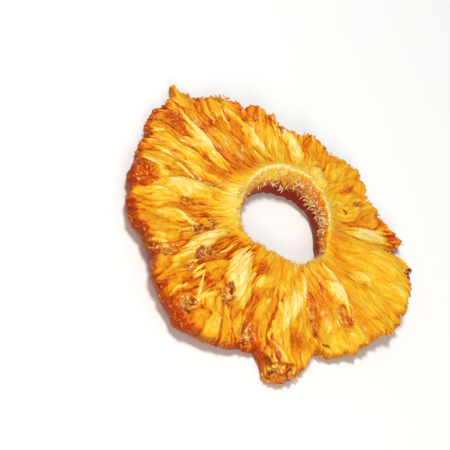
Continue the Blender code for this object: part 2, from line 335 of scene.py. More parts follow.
HAIR_PLACES = (0.2, 0.85)
HAIR_LIFT = 0.2
SHRED_COUNT = 340
SHRED_HEIGHTS = (0.45, 0.95)
SHRED_ROOT = 0.4
SHRED_MIDDLE = 0.6
TOOTH_COUNT = 120
TOOTH_PLACES = (-0.1, 0.5)
TOOTH_RISES = (-0.1, 0.35)
FRINGE_COUNT = 190
FRINGE_ANGLES = (190, 355)
FRINGE_PLACES = (0.2, 1.8)
FRINGE_DROOPS = (0.2, 1.2)
FRINGE_LIFT = 0.1
CLUMP_COUNT = 46
CLUMP_DROPS = 6
CLUMP_AT = (98, 42)
CLUMP_HEIGHTS = (0.4, 0.85)
CLUMP_SIZE = (3.0, 0.06)
DROP_HEIGHTS = (0.3, 0.9)
DROP_FALLS = (-0.2, 1.0)
CURL_COUNT = 20
CURL_SPREAD = 4.5
CURL_PLACES = (1.2, 3.0)
CURL_HEIGHTS = (0.4, 1.05)
CURL_DROP = 0.4
CURL_LOWEST = 0.6
TIP_ANGLE = 299.0
TIP_SPREAD = 6.5
TIP_START = 42.8
TIP_RIM = 1.0

# Each thread's points and sides, the way its flat side faces, its end's width and how deep it lies.
POINTS = 9
SIDES = 6
THREAD_UP = (0.05, 0.03, 1.0)
THREAD_END = 0.05
THREAD_SUNK = 0.03
FIBRE_NOISE_SCALE = 1500

# The radius at which the fibre coordinates are true millimetres.
FIBRE_CIRCLE = 30

# The skin's grid.
COLUMNS = 880
TOP_ROWS = 72
SIDE_ROWS = 10
UNDER_ROWS = 14
WALL_ROWS = 16

# The flesh's colours from its deepest orange to the pale core, each with its level, in linear light.
FLESH = (
    (0.0, (0.42, 0.035, 0.001, 1)), (0.12, (0.6, 0.09, 0.002, 1)), (0.28, (0.75, 0.22, 0.005, 1)),
    (0.5, (0.82, 0.385, 0.01, 1)), (0.7, (0.885, 0.53, 0.026, 1)), (0.85, (0.93, 0.64, 0.085, 1)),
    (0.93, (0.96, 0.71, 0.19, 1)), (1.0, (1.0, 0.8, 0.4, 1)),
)
BROWNS = (
    (0.3, (0.31, 0.042, 0.002, 1)), (0.47, (0.52, 0.125, 0.005, 1)), (0.62, (0.77, 0.3, 0.016, 1)),
    (0.78, (0.96, 0.64, 0.14, 1)),
)
FIBRE_COLOURS = {
    "frayed_fibre": ((0, (0.8, 0.3, 0.03, 1)), (0.9, (1.0, 0.78, 0.38, 1))),
    "loose_fibre": ((0, (0.92, 0.42, 0.02, 1)), (0.9, (0.98, 0.72, 0.16, 1))),
    "torn_flesh": ((0, (0.5, 0.06, 0.002, 1)), (0.5, (0.76, 0.24, 0.006, 1)), (1, (0.9, 0.5, 0.03, 1))),
    "core_fibre": ((0, (0.92, 0.5, 0.04, 1)), (0.8, (0.97, 0.78, 0.32, 1))),
    "fringe_fibre": ((0, (0.8, 0.32, 0.01, 1)), (0.8, (0.95, 0.66, 0.14, 1))),
    # Painted highlight: the pale cream of the wall's fibre ends.
    "wall_glint_fibre": ((0, (0.72, 0.24, 0.02, 1)), (0.9, (1.0, 0.8, 0.44, 1))),
    "browned_strip": ((0, (0.14, 0.02, 0.004, 1)), (0.5, (0.55, 0.15, 0.012, 1)), (1, (0.92, 0.5, 0.12, 1))),
}
LINE_BROWN = (0.46, 0.12, 0.008, 1)
# Painted highlight: the white of glints in hollows, jelly-like patches and on the wall.
PAINTED_GLINT = (1.0, 0.78, 0.45, 1)
# The side's own red, deepened with painted shade.
SIDE_RED_SHADE = (0.33, 0.048, 0.002, 1)
# Painted shade at the foot of the hole's wall.
WALL_FOOT_SHADE = (0.26, 0.016, 0.002, 1)
SPECK_BROWN = (0.21, 0.03, 0.002, 1)

# The shaders' constants.
FLESH_SHADER = {
    "Subsurface Weight": 0.5, "Subsurface Radius": (1.0, 0.35, 0.08), "Subsurface Scale": 0.0012, "IOR": 1.12,
    "Coat Weight": 0.2, "Coat Roughness": 0.07, "Coat IOR": 1.4,
}
FIBRE_SHADER = {
    "Subsurface Weight": 0.4, "Subsurface Radius": (1.0, 0.6, 0.25), "Subsurface Scale": 0.0006, "IOR": 1.35,
}
FLOOR_SHADER = {"Base Color": (0.93, 0.93, 0.92, 1), "Roughness": 0.9}

# The flesh's noise along its fibres: widths and lengths of its grains in mm, detail and seed.
STREAKS = (1.2, 5.0, 3.0, 0.0)
FINE = (0.4, 2.4, 3.0, 5.0)
FINE_LUMPS = (0.5, 0.6, 2.0, 13.0)
DOTS = (0.35, 0.35, 1.0, 21.0)
THIN = (0.5, 7.0, 2.0, 9.0)
BLOTCHES = (1.3, 1.6, 2.0, 31.0)
MEANDERS = (6.0, 3.0)

# How far that noise moves the colour level, and where its lines, edges and painted glints, which are painted
# highlights, begin and are full.
STREAK_SHIFT = 0.4
FINE_SHIFT = 0.6
VEIN_SHIFT = -0.06
DOT_SHIFT = 0.3
NOISE_MIDDLE = 0.655
MOTTLE = 0.9
VEIN_RIM = (0.04, 0.0)
LINE_RIM = (0.03, 0.0)
LINE_STREAKS = (0.56, 0.42)
LINE_WEIGHT = 0.3
SIDE_RIM = (0.85, 0.5)
BROWN_RIM = (0.45, 0.9)
GLINT_RIM = (0.82, 0.9)
GLINT_SHARE = 0.19

# The camera, as the photograph has it.
IMAGE_SIDE = 450
PIXELS_PER_MM = 3.74
DISTANCE = 320
SENSOR = 36
ELEVATION = 44.3
ROLL = 42.0
AIM_HEIGHT = 2.5
AIM_PIXEL = (281.6, 227.4)

# The floor, and the lights: name, angle round the ring and height in degrees, distance and side in metres,
# watts and colour.
FLOOR_SIDE = 3
FLOOR_LEVEL = -0.0002
LIGHTS = (
    ("key", 190, 70, 0.9, 0.2, 5.5, (1, 1, 1)),
    ("fill", 300, 25, 1.1, 0.4, 5.2, (1.0, 0.96, 0.9)),
)
SKY = 0.3


def round_the_ring(points, angle):
    """A value given at some angles, evenly joined all the way round."""
    at, value = np.array(points, float).T
    at = np.concatenate([at - 360, at, at + 360])
    return np.interp(np.mod(angle, 360), at, np.tile(value, 3))


def apart(angle, middle):
    """The turn from middle to angle, from -180 to 180."""
    return np.mod(angle - middle + 180, 360) - 180


def hump(angle, middle, spread):
    return np.exp(-((apart(angle, middle) / spread) ** 2))


def standing_out(angle, middle, spread, reach):
    return reach * hump(angle, middle, spread)


def smooth(value, low, high):
    """Value taken from low to high onto 0 to 1, eased at both ends and held there."""
    share = np.clip((value - low) / (high - low), 0, 1)
    return share * share * (3 - 2 * share)


def uneven(angle, radius, kind):
    """Smooth unevenness with as many cells round the ring, as long and as high as its kind says."""
    cells, length, height, seed = kind
    lattice = np.random.default_rng(seed).uniform(-1, 1, (cells, LATTICE_ROWS))
    u = np.mod(angle, 360) / 360 * cells
    v = radius / length
    iu = np.floor(u).astype(int)
    iv = np.floor(v).astype(int)
    su, sv = ((f * f * (3 - 2 * f)) for f in (u - iu, v - iv))
    this, after = iu % cells, (iu + 1) % cells
    row, next_row = iv % LATTICE_ROWS, (iv + 1) % LATTICE_ROWS
    near = lattice[this, row] * (1 - su) + lattice[after, row] * su
    far = lattice[this, next_row] * (1 - su) + lattice[after, next_row] * su
    return height * (near * (1 - sv) + far * sv)


def cloudy(angle, radius, kind):
    """Unevenness in three sizes, each half as large and as high as the one before."""
    cells, length, height, seed = kind
    sizes = [(cells * 2**i, length / 2**i, height / 2**i, seed + 100 * i) for i in range(3)]
    return sum(uneven(angle, radius, size) for size in sizes)


def ridged(angle, radius, kind):
    """Unevenness with narrow crests, such as fibres make."""
    height = kind[2]
    return height - 2 * np.abs(uneven(angle, radius, kind))


def outline(angle):
    return round_the_ring(OUTLINE, angle) + uneven(angle, 0, EDGE_TEETH)


def hole(angle):
    return round_the_ring(HOLE, angle)


def crest_radius(angle):
    return hole(angle) + LEAN_LEAST + LEAN_MORE * hump(angle, CREST_ANGLE, LEAN_SPREAD)


def across(angle, radius):
    """How far out a point lies between the hole, 0, and the outer edge, 1."""
    inner = hole(angle)
    return np.clip((radius - inner) / (outline(angle) - inner), 0, 1)


def along_and_beside(angle, radius, middle, distance, half_length, half_width, slant=0.0):
    """Where a point lies on a long oval's own two axes, whose ends are at 1."""
    along = radius - distance
    side = np.radians(apart(angle, middle + slant * along)) * radius
    return along / half_length, side / half_width


def inside_oval(angle, radius, oval):
    """1 in the middle of a long oval on the sheet, falling to 0 past its rim."""
    along, beside = along_and_beside(angle, radius, *oval)
    return np.exp(-((along**2 + beside**2) ** OVAL_FALLOFF))


def underside(angle, radius):
    """The sheet's lower face: it sags to the ground at the lobes, and lies flat there."""
    out = across(angle, radius)
    waves = LOBE_RISE * np.cos(np.radians(LOBES * angle)) + uneven(angle, radius, PLEATS)
    fold = FOLD_RISE * hump(angle, FOLD_ANGLE, FOLD_SPREAD) * np.sin(np.pi / 2 * out / FOLD_PEAK)
    return np.maximum(UNDER_LEVEL + out**LOBE_GROWTH * waves + fold, 0)


def under_relief(angle, radius):
    """Fibres of the lower face, which are pressed flat where it touches the ground."""
    clear = np.clip(underside(angle, radius) / UNDER_FIBRES[2], 0, 1)
    return clear * uneven(angle, radius, UNDER_FIBRES)


def relief(angle, radius):
    """Fibre bands, raised bundles and seed pockets of the upper face."""
    strength = np.clip(across(angle, radius) * RELIEF_GROWTH, RELIEF_AT_HOLE, 1)
    height = strength * (uneven(angle, radius, FIBRE_BANDS) + uneven(angle, radius, FIBRES))
    for *bundle, _ in BUNDLES:
        height += BUNDLE_RISE * inside_oval(angle, radius, bundle)
    for *oval, depth, _ in POCKETS:
        height -= depth * inside_oval(angle, radius, oval)
    return height


def collar(angle, radius):
    """How far the core edge stands above the sheet."""
    crest = CREST_LOW + CREST_RISE * hump(angle, CREST_ANGLE, CREST_SPREAD) - UNDER_LEVEL - THICKNESS
    crest = crest + uneven(angle, 0, CREST_TEETH)
    return crest * np.exp(-np.maximum(radius - crest_radius(angle), 0) / COLLAR_WIDTH)


def upper_face(angle, radius):
    out = across(angle, radius)
    thick = THICKNESS + THICK_MORE * hump(angle, THICK_ANGLE, THICK_SPREAD) * out
    rounding = EDGE_ROUNDING * np.clip((out - 1 + EDGE_ZONE) / EDGE_ZONE, 0, 1) ** 2
    return underside(angle, radius) + thick - rounding + collar(angle, radius) + relief(angle, radius)


def strongest(angle, radius, ovals):
    """The strongest of some ovals at each point, each weighted by its last number."""
    most = np.zeros_like(radius)
    for *oval, weight in ovals:
        most = np.maximum(most, weight * inside_oval(angle, radius, oval))
    return most


def bundles(angle, radius):
    """How pale the fibre bundles make each point, how near it lies to one, and how deep a painted shadow
    edges it.
    """
    fray = uneven(angle, radius, FRAY) + uneven(angle, radius, FINE_FRAY)
    masks = np.zeros((3, *radius.shape))
    for *bundle, share in BUNDLES:
        along, beside = along_and_beside(angle, radius, *bundle)
        inside = fray - np.abs(along / BUNDLE_REACH[0]) ** 1.5 - (beside / BUNDLE_REACH[1]) ** 2
        for mask, rim in zip(masks, (PALE_RIM, FLANK_RIM, SHADOW_LINE_RIM)):
            np.maximum(mask, share * smooth(inside, *rim), out=mask)
    pale, flank, shadow_line = masks
    return pale, flank, shadow_line * (1 - flank)


def plump_cells(angle, radius, kind):
    """Long cells, as juice sacs make: their height, how near a seam is, and each cell's own number."""
    cells, length, rise, seed, seam, _ = kind
    rng = np.random.default_rng(seed)
    middles = rng.uniform(*CELL_MIDDLES, (cells, LATTICE_ROWS, 2))
    own = rng.uniform(-1, 1, (cells, LATTICE_ROWS, 2))
    u = np.mod(angle, 360) / 360 * cells
    v = radius / length
    first = np.full_like(u, np.inf)
    second = np.full_like(u, np.inf)
    number = np.zeros_like(u)
    tilt = np.zeros_like(u)
    for i in (-1, 0, 1):
        for j in (-1, 0, 1):
            iu = np.floor(u).astype(int) + i
            iv = np.floor(v).astype(int) + j
            cell = (iu % cells, iv % LATTICE_ROWS)
            away_u = iu + middles[cell][..., 0] - u
            away_v = iv + middles[cell][..., 1] - v
            d = np.hypot(away_u, away_v)
            nearest = d < first
            second = np.where(nearest, first, np.minimum(second, d))
            first = np.where(nearest, d, first)
            number = np.where(nearest, own[cell][..., 0], number)
            tilt = np.where(nearest, own[cell][..., 1] * away_u, tilt)
    inside = np.clip((second - first) / seam, 0, 1)
    height = rise * (np.sqrt(inside * (2 - inside)) - 1 + CELL_STEP * number + tilt)
    return height, 1 - inside, number


def strands(angle, radius):
    """The height of the long strands on the upper face, and how pale the one that shows at each point is."""
    rng = np.random.default_rng(STRAND_SEED)
    height = np.zeros_like(radius)
    pale = np.zeros_like(radius)
    for _ in range(STRAND_COUNT):
        middle = np.array(rng.uniform(0, 360))
        share = rng.uniform(*STRAND_PLACES)
        length = rng.uniform(*STRAND_LENGTH)
        width = rng.uniform(*STRAND_WIDTH)
        rise = rng.uniform(*STRAND_RISE)
        slant = rng.uniform(-STRAND_SLANT, STRAND_SLANT)
        paleness = float(rng.uniform() < PALE_SHARE)
        inner = crest_radius(middle)
        distance = inner + share * (outline(middle) - inner)
        near = np.abs(radius - distance) < length
        along, beside = along_and_beside(angle[near], radius[near], middle, distance, length, width, slant)
        rod = rise * np.sqrt(np.clip(1 - np.abs(along) - beside**2, 0, 1))
        shows = rod > height[near]
        height[near] = np.where(shows, rod, height[near])
        pale[near] = np.where(shows, paleness * smooth(rod / rise, 0, 0.5), pale[near])
    return height, pale


def place(angle, radius, level):
    """Points in metres, from their angle, radius and height."""
    x = HOLE_CENTRE[0] + radius * np.cos(np.radians(angle))
    y = HOLE_CENTRE[1] + radius * np.sin(np.radians(angle))
    return np.stack([x, y, level], -1) * MM


def steps(first, last, count):
    """Evenly spaced values from first up to, and without, last."""
    return [first + (last - first) * i / count for i in range(count)]


def skin_rows():
    """t and h of each row of the skin: out over the top, down the side, in below and up the hole."""
    rows = [(t, 1) for t in steps(0, 1, TOP_ROWS)]
    rows += [(1, h) for h in steps(1, 0, SIDE_ROWS)]
    rows += [(t, 0) for t in steps(1, 0, UNDER_ROWS)]
    rows += [(0, h) for h in steps(0, 1, WALL_ROWS)]
    return np.array(rows, float)


def creases(level):
    """How far each point of the skin's grid lies below the mean of its near neighbours."""
    around = [np.roll(level, (i, j), (0, 1)) for i in (-1, 0, 1) for j in (-2, 0, 2)]
    return np.maximum(sum(around) / len(around) - level, 0)


def pale_core(angle, radius, turned, from_crest):
    """Where the pale core shows round the hole. Its outer edge is frayed."""
    wide = np.maximum(*(hump(angle, *at) for at in CORE_WIDE_AT))
    shows = np.maximum(*(hump(angle, *at) for at in CORE_AT))
    fray = CORE_FRAY * uneven(turned, radius, FINE_FRAY)
    return shows * smooth(fray - from_crest / (CORE_WIDTH + CORE_WIDER * wide), *CORE_RIM)


def upper_detail(angle, radius):
    """The upper face's fine relief, colour level, brown, painted glints, specks, and angles along the fibres.
    """
    turned = angle + cloudy(angle, radius, WANDER)
    ragged = (angle + cloudy(angle, radius, RAGGED_TURN), radius + cloudy(angle, radius, RAGGED_REACH))
    pocket = strongest(*ragged, [(*o[:4], 1.0) for o in POCKETS])
    brown = strongest(*ragged, [(*o[:4], o[5]) for o in POCKETS]) * smooth(pocket, *HOLLOW_RIM)
    charred = hump(ragged[0], TIP_ANGLE, TIP_SPREAD) * smooth(ragged[1], TIP_START, TIP_START + TIP_RIM)
    patch = smooth(strongest(*ragged, [(*o[:4], 1.0) for o in JELLY]), *JELLY_RIM)
    jelly = strongest(*ragged, JELLY) * patch
    tone = sum(weight * inside_oval(*ragged, oval) for *oval, weight in STRETCHES)
    rough = np.clip(HOLLOW_ROUGH * pocket + jelly + TIP_ROUGH * charred, 0, ROUGHEST)
    pale, flank, shadow_line = bundles(turned - apart(turned, angle) * STEADINESS, radius)

    from_crest = np.maximum(radius - crest_radius(angle), 0)
    calm = CALM_RELIEF * strongest(angle, radius, CALM)
    rugged = np.clip(from_crest / RUGGED_FROM, LEAST_RUGGED, 1) * (1 - calm)
    height = np.zeros_like(radius)
    for kind in CELLS:
        rise, near_seam, number = plump_cells(turned, radius, kind)
        height += rise
        shown = LEAST_CELL_TONE + (1 - LEAST_CELL_TONE) * rugged
        # Painted shade: the tone is deeper at the seams between cells.
        tone = tone + (number - SEAM_SHADE * near_seam**3) * shown * kind[5]
    rods, pale_rods = strands(turned, radius)
    ridges = ridged(turned, radius, FINE_RIDGES)
    height = (height + rods + ridges) * rugged * np.clip(1 - ROUGH_FLATTENS * rough, 0, 1)
    height += cloudy(turned, radius, SWELLS) * np.clip(from_crest / SWELLS_FROM, 0, 1)
    height += rough * uneven(angle, radius, LUMPS) + uneven(angle, radius, GRAIN)
    height += FLANK_RISE * flank + PALE_RISE * pale - OUTLINED_DIP * shadow_line
    height += uneven(angle, 0, CREST_BEADS) * np.exp(-from_crest / BEAD_REACH)

    level = BASE_LEVEL + TONE_SHIFT * tone + CLOUD_SHIFT * cloudy(turned, radius, CLOUDS) + ridges
    # Painted shadow: a deeper line round the pale bundles.
    shown = np.clip(SHADOW_LINE_SHOWN + SHADOW_LINE_VARIES * cloudy(turned, radius, FRAY), 0, 1)
    level = np.clip(level - SHADOW_LINE_SHIFT * shadow_line * shown, *LEVEL_RANGE)
    level = level + (JELLY_LEVEL - level) * jelly
    core = pale_core(angle, radius, turned, from_crest)
    crest_line = hump(angle, *CORE_AT[0]) * np.exp(-((from_crest / CREST_LINE) ** 2))
    layers = ((pale_rods * rugged, STRAND_LEVEL), (flank, FLANK_LEVEL), (pale, PALE_LEVEL),
              (core, CORE_LEVEL), (crest_line, CREST_LEVEL))
    for mask, reach in layers:
        level = level + (reach - level) * mask
    # Painted highlights: white glints in brown hollows and jelly-like patches.
    painted_glints = np.clip(BROWN_GLINTS * brown + JELLY_GLINTS * jelly, 0, 1)
    dark = smooth(strongest(*ragged, SPECKS), *SPECK_RIM)
    return height, level, np.maximum(brown, charred), painted_glints, dark, turned


def torn_edge(angle, t, h):
    """How far the torn edge reaches out. It is most torn along the upper rim of the side."""
    torn = sum(ridged(angle, 0, kind) for kind in EDGE_NICKS)
    torn = (torn - EDGE_INSET) * (LOW_TEAR + (1 - LOW_TEAR) * h**2) + standing_out(angle, *LIP)
    return torn * t**LIP_FALLOFF - standing_out(angle, *NOTCH) * t**NOTCH_FALLOFF


def skin():
    """The place of every point of the skin, and the masks that its material reads."""
    t, h = (column[:, None] * np.ones((1, COLUMNS)) for column in skin_rows().T)
    angle = np.arange(COLUMNS)[None, :] * 360 / COLUMNS * np.ones_like(t)
    edge = outline(angle)
    inner = hole(angle)
    crest = crest_radius(angle)
    top, under = h == 1, h == 0
    side = (t == 1) & ~top & ~under
    wall = (t == 0) & ~top & ~under

    low_radius = inner + t * (edge - inner)
    high_radius = crest + t * (edge - crest)
    low = underside(angle, low_radius) + under_relief(angle, low_radius)
    fine, colour_level, brown, painted_glints, dark, turned = upper_detail(angle, high_radius)
    high = upper_face(angle, high_radius) + fine
    level = low + (high - low) * h
    # Painted shade: the colour is deeper and browner in the creases of the fine relief.
    shown = np.clip(CREASES_SHOWN + CREASES_VARY * cloudy(angle, high_radius, DEEPER), 0, 1)
    crease = creases(fine) * shown * (1 - CALM_HIDES * strongest(angle, high_radius, CALM))
    colour_level = colour_level - CREASE_SHADE * np.minimum(crease, CREASE_LIMIT)
    brown = np.maximum(brown, CREASE_SHADE_BROWN * smooth(crease, *CREASE_RIM))
    brown = np.where(side, hump(angle, TIP_ANGLE, TIP_SPREAD), np.where(top, brown, 0))

    # The wall of the hole has knotted strands that hang down it, and the side has torn layers.
    fade = KNOTS_FADE * smooth(h, *KNOTS_TO) * hump(angle, *KNOTS_FADE_AT)
    knotty = smooth(h, *KNOTS_FROM) * (1 - fade)
    knots = knotty * uneven(angle, level, WALL_KNOTS)
    hang = ridged(angle + STRAND_TWIST * level, level, WALL_STRANDS) * h + knots
    layers = ridged(angle, level, SIDE_LAYERS)
    bulge = np.sin(np.pi * h)
    radius = low_radius + (high_radius - low_radius) * h**WALL_CURVE + EDGE_BULGE * t * bulge
    radius = radius + torn_edge(angle, t, h)
    radius = radius + np.where(wall, np.sqrt(np.abs(bulge)) * hang, 0) + np.where(side, bulge * layers, 0)
    places = place(angle, radius, np.maximum(level, 0)).reshape(-1, 3)

    sunlit = smooth(h, *SUNLIT_FROM) * hump(angle, *SUNLIT_AT)
    # Painted shade and highlights: the wall is darkest at its foot, and its knots that stand out are paler.
    wall_level = WALL_LEVEL + WALL_MIDDLE[0] * smooth(h, *WALL_MIDDLE[1:])
    wall_level = wall_level + WALL_TOP[0] * smooth(h, *WALL_TOP[1:])
    wall_level = np.clip(wall_level + SUNLIT_SHIFT * sunlit, 0, 1) + KNOT_HIGHLIGHT * np.maximum(-knots, 0)
    under_level = UNDER_COLOUR + UNDER_CLOUDS * cloudy(angle, radius, CLOUDS)
    colour_level = np.where(under, under_level, np.where(wall, wall_level, colour_level))
    # Painted shade: the rim and the outer side are deeper and redder round RED_SHADE_AT, over the side's own
    # red.
    red_shade = LEAST_RED_SHADE + (1 - LEAST_RED_SHADE) * hump(angle, RED_SHADE_AT, RED_SHADE_SPREAD)
    colour_level = colour_level - EDGE_SHADE_SHIFT * red_shade * smooth(t, EDGE_SHADE_FROM, 1)
    side_level = SIDE_LEVEL - SIDE_SHADE_SHIFT * red_shade + layers
    colour_level = np.where(side, np.minimum(colour_level, side_level), colour_level)
    turn = np.radians(turned)
    along = np.where(top | under, radius, level * 2)
    masks = {
        "flesh_level": colour_level,
        # The brown of hollows and the browned tip, painted shade in creases, and brown on the wall.
        "brown": np.where(wall, WALL_BROWN * knotty * (1 - sunlit) * smooth(h, 1, 0.8), brown),
        # Painted highlights: white glints on the upper face and the knotty wall.
        "painted_glints": np.where(top, painted_glints, np.where(wall, knotty, 0)),
        "side": np.where(side, np.clip(4 * (1 - h), 0, 1) * red_shade, 0) + np.where(under, UNDER_SIDE, 0),
        # Painted shade at the foot of the hole's wall.
        "dark": np.where(t == 0, 1 - smooth(h, *WALL_SHADE_TO), 0),
        "speck": np.where(top, dark, 0),
        "fibre": np.stack([FIBRE_CIRCLE * np.cos(turn), FIBRE_CIRCLE * np.sin(turn), along], -1),
    }
    return places, masks


def grid_faces(rows, columns):
    """The quads of a grid whose rows and columns both close up."""
    i, j = np.meshgrid(np.arange(rows), np.arange(columns), indexing="ij")
    i2, j2 = (i + 1) % rows, (j + 1) % columns
    corners = [i * columns + j, i2 * columns + j, i2 * columns + j2, i * columns + j2]
    return np.stack(corners, -1).reshape(-1, 4)


def mesh_object(name, places, faces, material):
    mesh = bpy.data.meshes.new(name)
    mesh.from_pydata(places.tolist(), [], faces)
    mesh.shade_smooth()
    mesh.materials.append(material)
    piece = bpy.data.objects.new(name, mesh)
    bpy.context.scene.collection.objects.link(piece)
    return piece


def store(mesh, name, values):
    """Keeps a mask, or a place for each point, with the mesh."""
    kind, key = ("FLOAT_VECTOR", "vector") if values.shape[-1] == 3 else ("FLOAT", "value")
    mesh.attributes.new(name, kind, "POINT").data.foreach_set(key, values.astype(np.float32).ravel())


def add(tree, kind, inputs=(), **settings):
    """A node of that kind, with its inputs linked or set in order, and its settings."""
    made = tree.nodes.new(kind)
    for key, value in settings.items():
        setattr(made, key, value)
    for socket, value in inputs:
        if isinstance(value, bpy.types.NodeSocket):
            tree.links.new(value, made.inputs[socket])
        else:
            made.inputs[socket].default_value = value
    return made


def field(tree, name):
    """What the skin stores under that name."""
    return add(tree, "ShaderNodeAttribute", attribute_name=name).outputs["Fac"]


def combine(tree, operation, *values):
    """A sum on three numbers at a time."""
    return add(tree, "ShaderNodeVectorMath", list(enumerate(values)), operation=operation).outputs[0]


def calc(tree, operation, *values):
    return add(tree, "ShaderNodeMath", list(enumerate(values)), operation=operation).outputs[0]


def grain(tree, place, width, length, detail, seed):
    """Noise along the fibres, with grains of about that width and length in millimetres."""
    scales = (1 / width, 1 / width, 1 / length)
    scaled = combine(tree, "MULTIPLY_ADD", place, scales, (seed, seed, seed))
    noise = add(tree, "ShaderNodeTexNoise", [("Vector", scaled), ("Scale", 1.0), ("Detail", detail)])
    return noise.outputs["Fac"]


def meandering(tree, size, reach):
    """The fibre coordinates, shifted this way and that by up to about half of reach."""
    place = add(tree, "ShaderNodeAttribute", attribute_name="fibre").outputs["Vector"]
    scaled = combine(tree, "SCALE", place)
    scaled.node.inputs["Scale"].default_value = 1 / size
    noise = add(tree, "ShaderNodeTexNoise", [("Vector", scaled), ("Scale", 1.0), ("Detail", 2.0)])
    shift = combine(tree, "SUBTRACT", noise.outputs["Color"], (0.5, 0.5, 0.5))
    return combine(tree, "MULTIPLY_ADD", shift, (reach, reach, reach), place)


def spread(tree, value, low, high):
    """Value taken from low to high onto 0 to 1, and held there."""
    inputs = [("Value", value), ("From Min", low), ("From Max", high)]
    return add(tree, "ShaderNodeMapRange", inputs, interpolation_type="SMOOTHSTEP").outputs["Result"]


def blend(tree, share, a, b):
    inputs = [(0, share), (6, a), (7, b)]
    return add(tree, "ShaderNodeMix", inputs, data_type="RGBA").outputs[2]


def ramp(tree, value, stops):
    """A colour for each value, blended between the stops."""
    made = add(tree, "ShaderNodeValToRGB", [(0, value)])
    elements = made.color_ramp.elements
    for element, (at, colour) in zip(elements, (stops[0], stops[-1])):
        element.position = at
        element.color = colour
    for at, colour in stops[1:-1]:
        elements.new(at).color = colour
    return made.outputs["Color"]


def new_material(name, constants):
    """A material, with its tree and its shader, whose sockets have these constants."""
    material = bpy.data.materials.new(name)
    material.use_nodes = True
    shader = material.node_tree.nodes["Principled BSDF"]
    for socket, value in constants.items():
        shader.inputs[socket].default_value = value
    return material, material.node_tree, shader


def lines_in(tree, noise, rim):
    """Lines where noise crosses its middle."""
    return spread(tree, calc(tree, "ABSOLUTE", calc(tree, "SUBTRACT", noise, 0.5)), *rim)


def flesh_material():
    material, tree, shader = new_material(SLOT, FLESH_SHADER)
    place = meandering(tree, *MEANDERS)
    streaks, fine, lumps, dots, thin, blotches = (
        grain(tree, place, *kind) for kind in (STREAKS, FINE, FINE_LUMPS, DOTS, THIN, BLOTCHES))

    # The flesh runs from deep orange through gold to cream, in streaks along its fibres.
    vein = lines_in(tree, streaks, VEIN_RIM)
    level = field(tree, "flesh_level")
    for noise, shift in ((streaks, STREAK_SHIFT), (fine, FINE_SHIFT), (vein, VEIN_SHIFT), (dots, DOT_SHIFT)):
        level = calc(tree, "MULTIPLY_ADD", noise, shift, level)
    level = calc(tree, "SUBTRACT", level, NOISE_MIDDLE)
    mottle = calc(tree, "MULTIPLY", calc(tree, "SUBTRACT", dots, 0.5), field(tree, "painted_glints"))
    colour = ramp(tree, calc(tree, "MULTIPLY_ADD", mottle, MOTTLE, level), FLESH)
    # The side's own red, deepened with painted shade.
    side = calc(tree, "MULTIPLY", field(tree, "side"), spread(tree, fine, *SIDE_RIM))
    colour = blend(tree, side, colour, SIDE_RED_SHADE)
    line = calc(tree, "MULTIPLY", lines_in(tree, thin, LINE_RIM), spread(tree, streaks, *LINE_STREAKS))
    colour = blend(tree, calc(tree, "MULTIPLY", line, LINE_WEIGHT), colour, LINE_BROWN)

    # Brown hollows, with painted shade in creases, and white glints, which are painted highlights, lie over
    # it, and then the dark foot of the wall, which is painted shade, and the specks.
    brown = calc(tree, "MULTIPLY_ADD", lumps, 0.5, field(tree, "brown"))
    browning = calc(tree, "MULTIPLY_ADD", blotches, 1.4, calc(tree, "MULTIPLY_ADD", lumps, 0.6, -0.5))
    colour = blend(tree, spread(tree, brown, *BROWN_RIM), colour, ramp(tree, browning, BROWNS))
    painted_glints = calc(tree, "MULTIPLY_ADD", field(tree, "painted_glints"), GLINT_SHARE, dots)
    colour = blend(tree, spread(tree, painted_glints, *GLINT_RIM), colour, PAINTED_GLINT)
    # Painted shade at the foot of the hole's wall.
    colour = blend(tree, field(tree, "dark"), colour, WALL_FOOT_SHADE)
    colour = blend(tree, field(tree, "speck"), colour, SPECK_BROWN)

    tree.links.new(colour, shader.inputs["Base Color"])
    tree.links.new(calc(tree, "MULTIPLY_ADD", fine, 0.3, 0.12), shader.inputs["Roughness"])
    rough = calc(tree, "MULTIPLY", calc(tree, "MULTIPLY_ADD", field(tree, "painted_glints"), 1.2, 0.2), lumps)
    lines = calc(tree, "MULTIPLY_ADD", vein, -0.3, calc(tree, "ADD", fine, rough))
    bump = add(tree, "ShaderNodeBump", [("Strength", 0.4), ("Distance", 0.0002), ("Height", lines)])
    tree.links.new(bump.outputs[0], shader.inputs["Normal"])
    return material


def make_skin():
    places, masks = skin()
    faces = grid_faces(len(places) // COLUMNS, COLUMNS).tolist()
    piece = mesh_object("ring_flesh", places, faces, flesh_material())
    for name, values in masks.items():
        store(piece.data, name, values)
    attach(piece, "root")
    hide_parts(NODE)


def fibre_material(kind):
    """Dried fibre, whose colour runs along its kind's colours with each point's own shade."""
    material, tree, shader = new_material(kind.material, FIBRE_SHADER)
    place = add(tree, "ShaderNodeTexCoord").outputs["Object"]
    inputs = [("Vector", place), ("Scale", FIBRE_NOISE_SCALE), ("Detail", 3.0)]
    noise = add(tree, "ShaderNodeTexNoise", inputs).outputs["Fac"]
    level = calc(tree, "MULTIPLY_ADD", noise, 0.6, field(tree, "shade"))
    colour = ramp(tree, calc(tree, "SUBTRACT", level, 0.3), FIBRE_COLOURS[kind.material])
    tree.links.new(colour, shader.inputs["Base Color"])
    tree.links.new(calc(tree, "MULTIPLY_ADD", noise, 0.3, kind.roughness), shader.inputs["Roughness"])
    bump = add(tree, "ShaderNodeBump", [("Strength", 0.4), ("Distance", 0.0001), ("Height", noise)])
    tree.links.new(bump.outputs[0], shader.inputs["Normal"])
    return material


